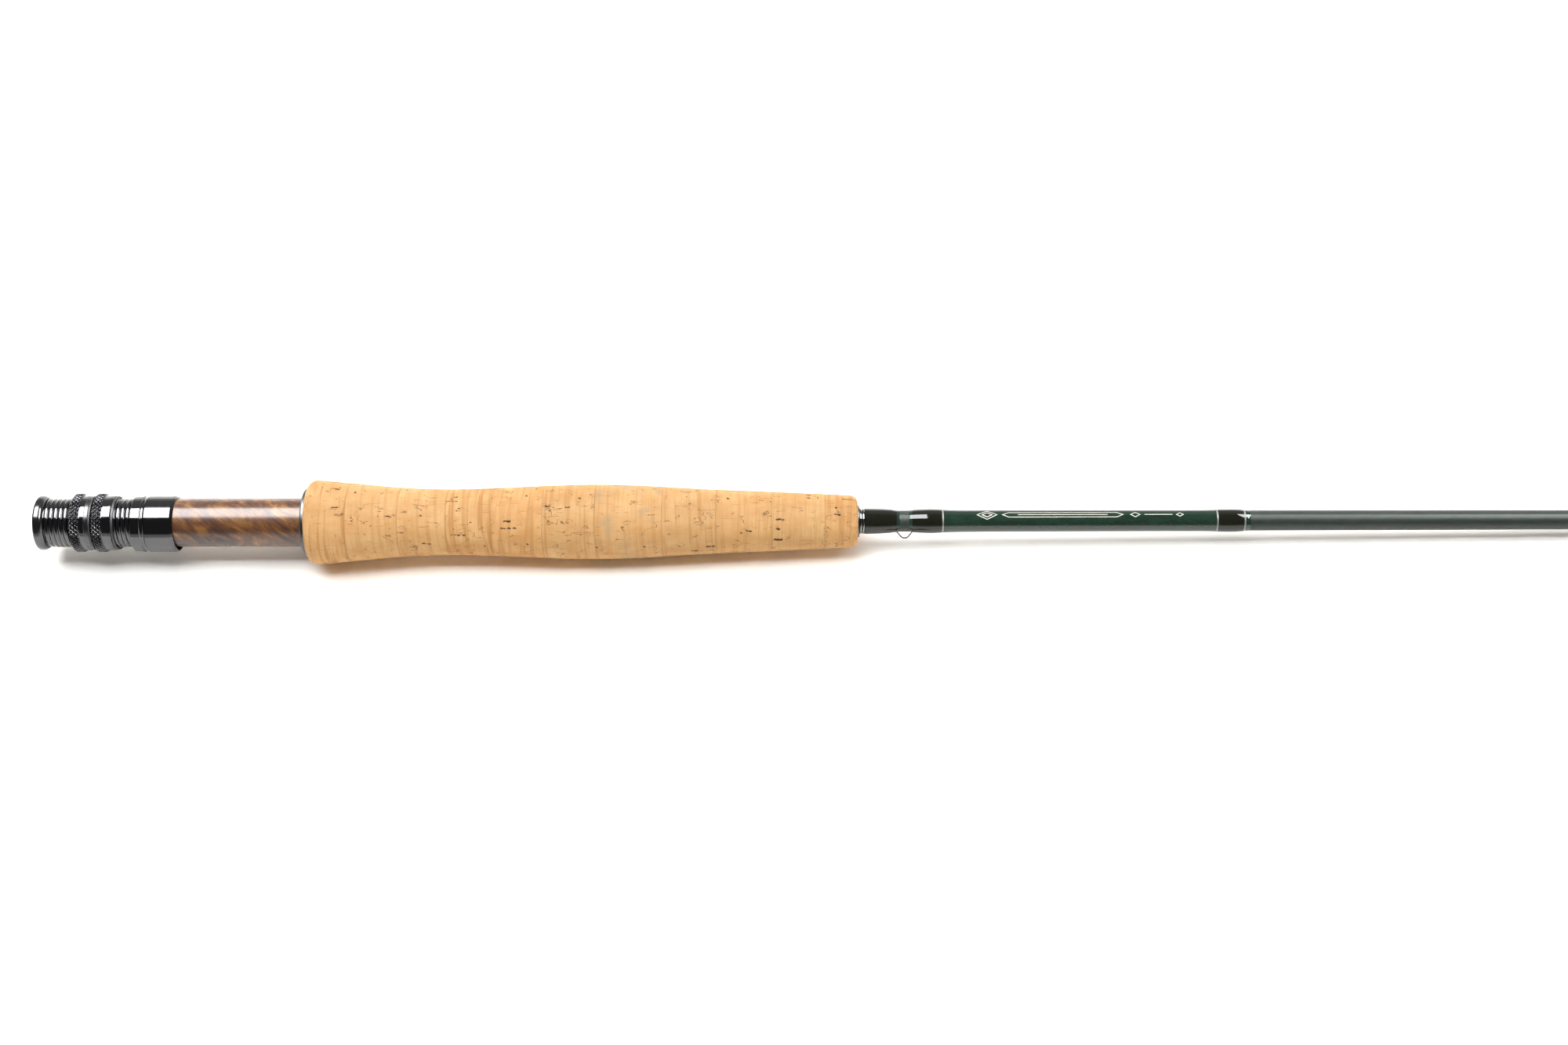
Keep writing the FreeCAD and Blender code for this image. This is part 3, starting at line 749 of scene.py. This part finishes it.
def ring_places(number, start, end):
    """Where a ring's points lie along the rod: evenly, and closer where the grip's ends are rounded."""
    turn = np.linspace(0, math.pi / 2, CORK_ROUND_POINTS)
    if number == 1:
        bend = start + GRIP_REAR_ROUND * (1 - np.cos(turn))
        return np.concatenate([bend, steps(bend[-1], end, CORK_STEP)[1:]])
    if number == CORK_RING_COUNT:
        bend = end - GRIP_FRONT_ROUND * (1 - np.sin(turn))
        return np.concatenate([steps(start, bend[0], CORK_STEP)[:-1], bend])
    return steps(start, end, CORK_STEP)


# ---------------------------------------------------------------- ornament


def ribbon(route, radius_at, closed):
    """A thin raised line on the label panel. Its route is in (x, arc), arc being the way from the top."""
    route = [Vector(p) for p in route]
    legs = list(zip(route, route[1:] + route[:1])) if closed else list(zip(route, route[1:]))
    line = []
    for a, b in legs:
        count = max(1, round((b - a).length / MARK_STEP))
        line += [a.lerp(b, k / count) for k in range(count)]
    if not closed:
        line.append(route[-1])
    points = []
    total = len(line)
    for k, here in enumerate(line):
        before = line[k - 1] if closed or k else here
        after = line[(k + 1) % total] if closed or k < total - 1 else here
        ahead = (after - here).normalized() if after != here else (here - before).normalized()
        behind = (here - before).normalized() if here != before else ahead
        along = (ahead + behind).normalized()
        side = Vector((-along.y, along.x)) * (MARK_LINE / 2) / max(0.4, along.dot(ahead))
        for place in (here + side, here - side):
            for lift in (MARK_LIFT, -MARK_LIFT):
                points.append(wrapped(place, radius_at(place.x) + lift))
    faces = []
    for k in range(total if closed else total - 1):
        a, b = 4 * k, 4 * ((k + 1) % total)
        for one, two in ((0, 2), (2, 3), (3, 1), (1, 0)):
            faces.append((a + one, a + two, b + two, b + one))
    if not closed:
        faces += [(0, 1, 3, 2), (4 * total - 4, 4 * total - 2, 4 * total - 1, 4 * total - 3)]
    return points, faces


def wrapped(place, radius):
    """A point of the flat ornament on the rod's top."""
    angle = place.y / radius
    return (place.x, -radius * math.sin(angle), radius * math.cos(angle))


def lozenge(x, length, height):
    return [(x - length / 2, 0), (x, height / 2), (x + length / 2, 0), (x, -height / 2)]


def label_mark():
    """Plain ornament on the label panel: lozenges and a pointed cartouche of fine lines."""
    start, _ = span("label_coat")
    coat = np.array([v.co for v in frame["nodes"]["label_coat"].data.vertices]) / MM
    reach = np.hypot(coat[:, 1], coat[:, 2])
    outer = reach > 0.96 * reach.max()
    order = np.argsort(coat[outer, 0])
    places, radii = coat[outer, 0][order], reach[outer][order]

    def radius_at(x):
        return float(np.interp(x, places, radii))

    first, last = start + MARK_FIRST, start + MARK_LAST
    tube_start, tube_end = start + MARK_TUBE[0], start + MARK_TUBE[1]
    tube = [
        (tube_start - MARK_TUBE_POINT, 0),
        (tube_start, MARK_TUBE_HALF),
        (tube_end, MARK_TUBE_HALF),
        (tube_end + MARK_TUBE_POINT, 0),
        (tube_end, -MARK_TUBE_HALF),
        (tube_start, -MARK_TUBE_HALF),
    ]
    lines = [
        (lozenge(first, 6.4, 3.2), True),
        (lozenge(first, 3.2, 1.6), True),
        (tube, True),
        ([(tube_start + MARK_TUBE_LINE, 0), (tube_end - MARK_TUBE_LINE, 0)], False),
        (lozenge(tube_end + 6, 3.0, 1.7), True),
        ([(tube_end + 9, 0), (last, 0)], False),
        (lozenge(last + 2.4, 2.2, 1.3), True),
    ]
    points, faces = [], []
    for route, closed in lines:
        more_points, more_faces = ribbon(route, radius_at, closed)
        faces += [tuple(len(points) + k for k in face) for face in more_faces]
        points += more_points
    piece = piece_from("label_ornament", points, faces)
    piece.data.materials.append(moulded("ornament_ink", INK, 0.3, 0.002))
    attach(piece, "rod")


# ---------------------------------------------------------------- CAD pieces that keep their shape


def dress(material, *nodes):
    for node in nodes:
        mesh = frame["nodes"][node].data
        mesh.materials.clear()
        mesh.materials.append(material)


def dress_cad_pieces():
    dress(black_anodised("anodised_gloss", GLOSS_ROUGH), "sliding_hood")
    dress(black_anodised("anodised_cap", 0.15), "butt_cap")
    dress(black_anodised("anodised_matt", 0.3), "cork_hood", "winding_check_plate")
    dress(burl_wood(), "wood_insert")
    dress(bare_blank(), "blank")
    dress(label_gloss(), "label_coat", "finish_lip")
    dress(moulded("washer_nylon", NYLON, 0.5), "rear_slip_washer", "front_slip_washer")
    dress(moulded("arbor_foam", FOAM, 0.8, 0.05), "shim_rear", "shim_middle", "shim_front")
    dress(bright_metal("keeper_wire", KEEPER, 0.3), "hook_keeper")
    dress(metallic_thread(), "keeper_trim_band", "label_trim_band_rear", "label_trim_band_front")
    dress(moulded("dot_paint", DOT, 0.4), "alignment_dot")
    rear_end = span("keeper_wrap_rear")[1]
    front_start = span("keeper_wrap_front")[0]
    dress(thread_wrap("wrap_rear", rear_end - 1.1, rear_end - 0.9), "keeper_wrap_rear")
    dress(thread_wrap("wrap_front", front_start + 1.1, front_start + 0.9), "keeper_wrap_front")
    dress(thread_wrap("wrap_label"), "label_wrap")


# ---------------------------------------------------------------- studio


def floor():
    """A pale table that touches the cork's flare and the blank's far end, seen only from above."""
    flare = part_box(ring_node(1))[0]
    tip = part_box("blank")[1].x
    touch = Vector((flare.x + GRIP_REAR_ROUND * MM, 0, flare.z))
    slope = math.atan2(underside(tip) - touch.z, tip - touch.x)
    mesh = bpy.data.meshes.new("floor")
    corners = [(x * TABLE_HALF, y * TABLE_HALF, 0) for x, y in ((-1, -1), (1, -1), (1, 1), (-1, 1))]
    mesh.from_pydata(corners, [], [(0, 1, 2, 3)])
    table = bpy.data.objects.new("floor", mesh)
    table.rotation_euler = Euler((0, -slope, 0))
    table.location = touch
    bpy.context.scene.collection.objects.link(table)
    look = Look("floor", {})
    white = look.add("BsdfDiffuse", {"Color": colour(FLOOR_COLOUR)}).outputs[0]
    coords = look.add("TexCoord", {}).outputs["Object"]
    far = look.add("VectorMath", {0: coords}, operation="LENGTH").outputs["Value"]
    near_edge, far_edge, strength = TABLE_GLOW
    glow = look.add("Emission", {"Color": colour(WHITE), "Strength": strength}).outputs[0]
    lit = look.add("MixShader", {0: look.spread(far, near_edge, far_edge), 1: white, 2: glow}).outputs[0]
    below = look.add("NewGeometry", {}).outputs["Backfacing"]
    clear = look.add("BsdfTransparent", {}).outputs[0]
    shown = look.add("MixShader", {0: below, 1: lit, 2: clear}).outputs[0]
    look.feed(look.tree.nodes["Material Output"], {"Surface": shown})
    mesh.materials.append(look.material)


def underside(tip):
    """Height of the blank's underside over its last 5 mm."""
    return min(v.co.z for v in frame["nodes"]["blank"].data.vertices if v.co.x > tip - 5 * MM)


def softbox(name, left, right, turn=0.0):
    """A strip light over that stretch of X, in metres: a lamp that gloss shows and a lamp that lights."""
    for part, radiance, near in SOFTBOX_PARTS:
        light = bpy.data.lights.new(f"{name}_{part}", "AREA")
        light.shape = "RECTANGLE"
        light.size, light.size_y = right - left, LIGHT_FAR - near
        light.energy = radiance * math.pi * light.size * light.size_y
        lamp = bpy.data.objects.new(light.name, light)
        lamp.location = ((left + right) / 2, (near + LIGHT_FAR) / 2, LIGHT_HEIGHT)
        lamp.rotation_euler = Euler((0, 0, math.radians(turn)))
        lamp.visible_diffuse = part == "light"
        lamp.visible_glossy = part == "shine"
        bpy.context.scene.collection.objects.link(lamp)


def surroundings():
    """A pale room, but dark enough in reflections for black metal to show."""
    world = bpy.data.worlds.new("room")
    bpy.context.scene.world = world
    world.use_nodes = True
    room = Nodes(world.node_tree)
    path = room.add("LightPath", {}).outputs
    coords = room.add("TexCoord", {}).outputs["Generated"]
    direction = room.add("SeparateXYZ", {0: coords}).outputs
    behind = room.spread(direction["Y"], 0.35, 0.8, 0.12, 0.6)
    near_horizon = room.spread(direction["Z"], 0.14, 0.24, 1.0, 0.0)
    seen = room.choose(near_horizon, behind, 1.2)
    cast = room.spread(direction["Y"], 0.1, 0.7, *ROOM_LIGHT)
    strength = room.choose(path["Is Glossy Ray"], cast, seen)
    backdrop = {
        "Strength": room.choose(path["Is Camera Ray"], strength, 1.0),
        "Color": room.mix(path["Is Diffuse Ray"], WHITE, ROOM_TINT),
    }
    room.feed(room.tree.nodes["Background"], backdrop)


def camera():
    lens = bpy.data.cameras.new("camera")
    lens.lens = LENS
    lens.sensor_width = SENSOR
    lens.clip_start, lens.clip_end = 0.01, 100.0
    view = bpy.data.objects.new("camera", lens)
    tilt = math.radians(CAMERA_ELEVATION)
    back = Vector((0, -math.cos(tilt), math.sin(tilt)))
    down = Vector((0, -math.sin(tilt), -math.cos(tilt)))
    view.location = (Vector((CAMERA_X, 0, 0)) + down * CAMERA_DROP + back * CAMERA_DISTANCE) * MM
    view.rotation_mode = "QUATERNION"
    facing = (-back).to_track_quat("-Z", "Y")
    view.rotation_quaternion = facing @ Quaternion((0, 0, 1), math.radians(CAMERA_ROLL))
    bpy.context.scene.collection.objects.link(view)
    bpy.context.scene.camera = view


dress_cad_pieces()
threaded_barrel()
for nut in NUT_NOSE_R:
    lock_nut(nut)
winding_check()
grip_radius = grip_profile()
for ring in range(1, CORK_RING_COUNT + 1):
    cork_ring(ring, grip_radius)
label_mark()

floor()
softbox("softbox_left", -0.66, 0.31)
softbox("softbox_right", 0.74, 1.3, 9.0)
surroundings()
camera()
bpy.context.scene.view_settings.view_transform = "Standard"
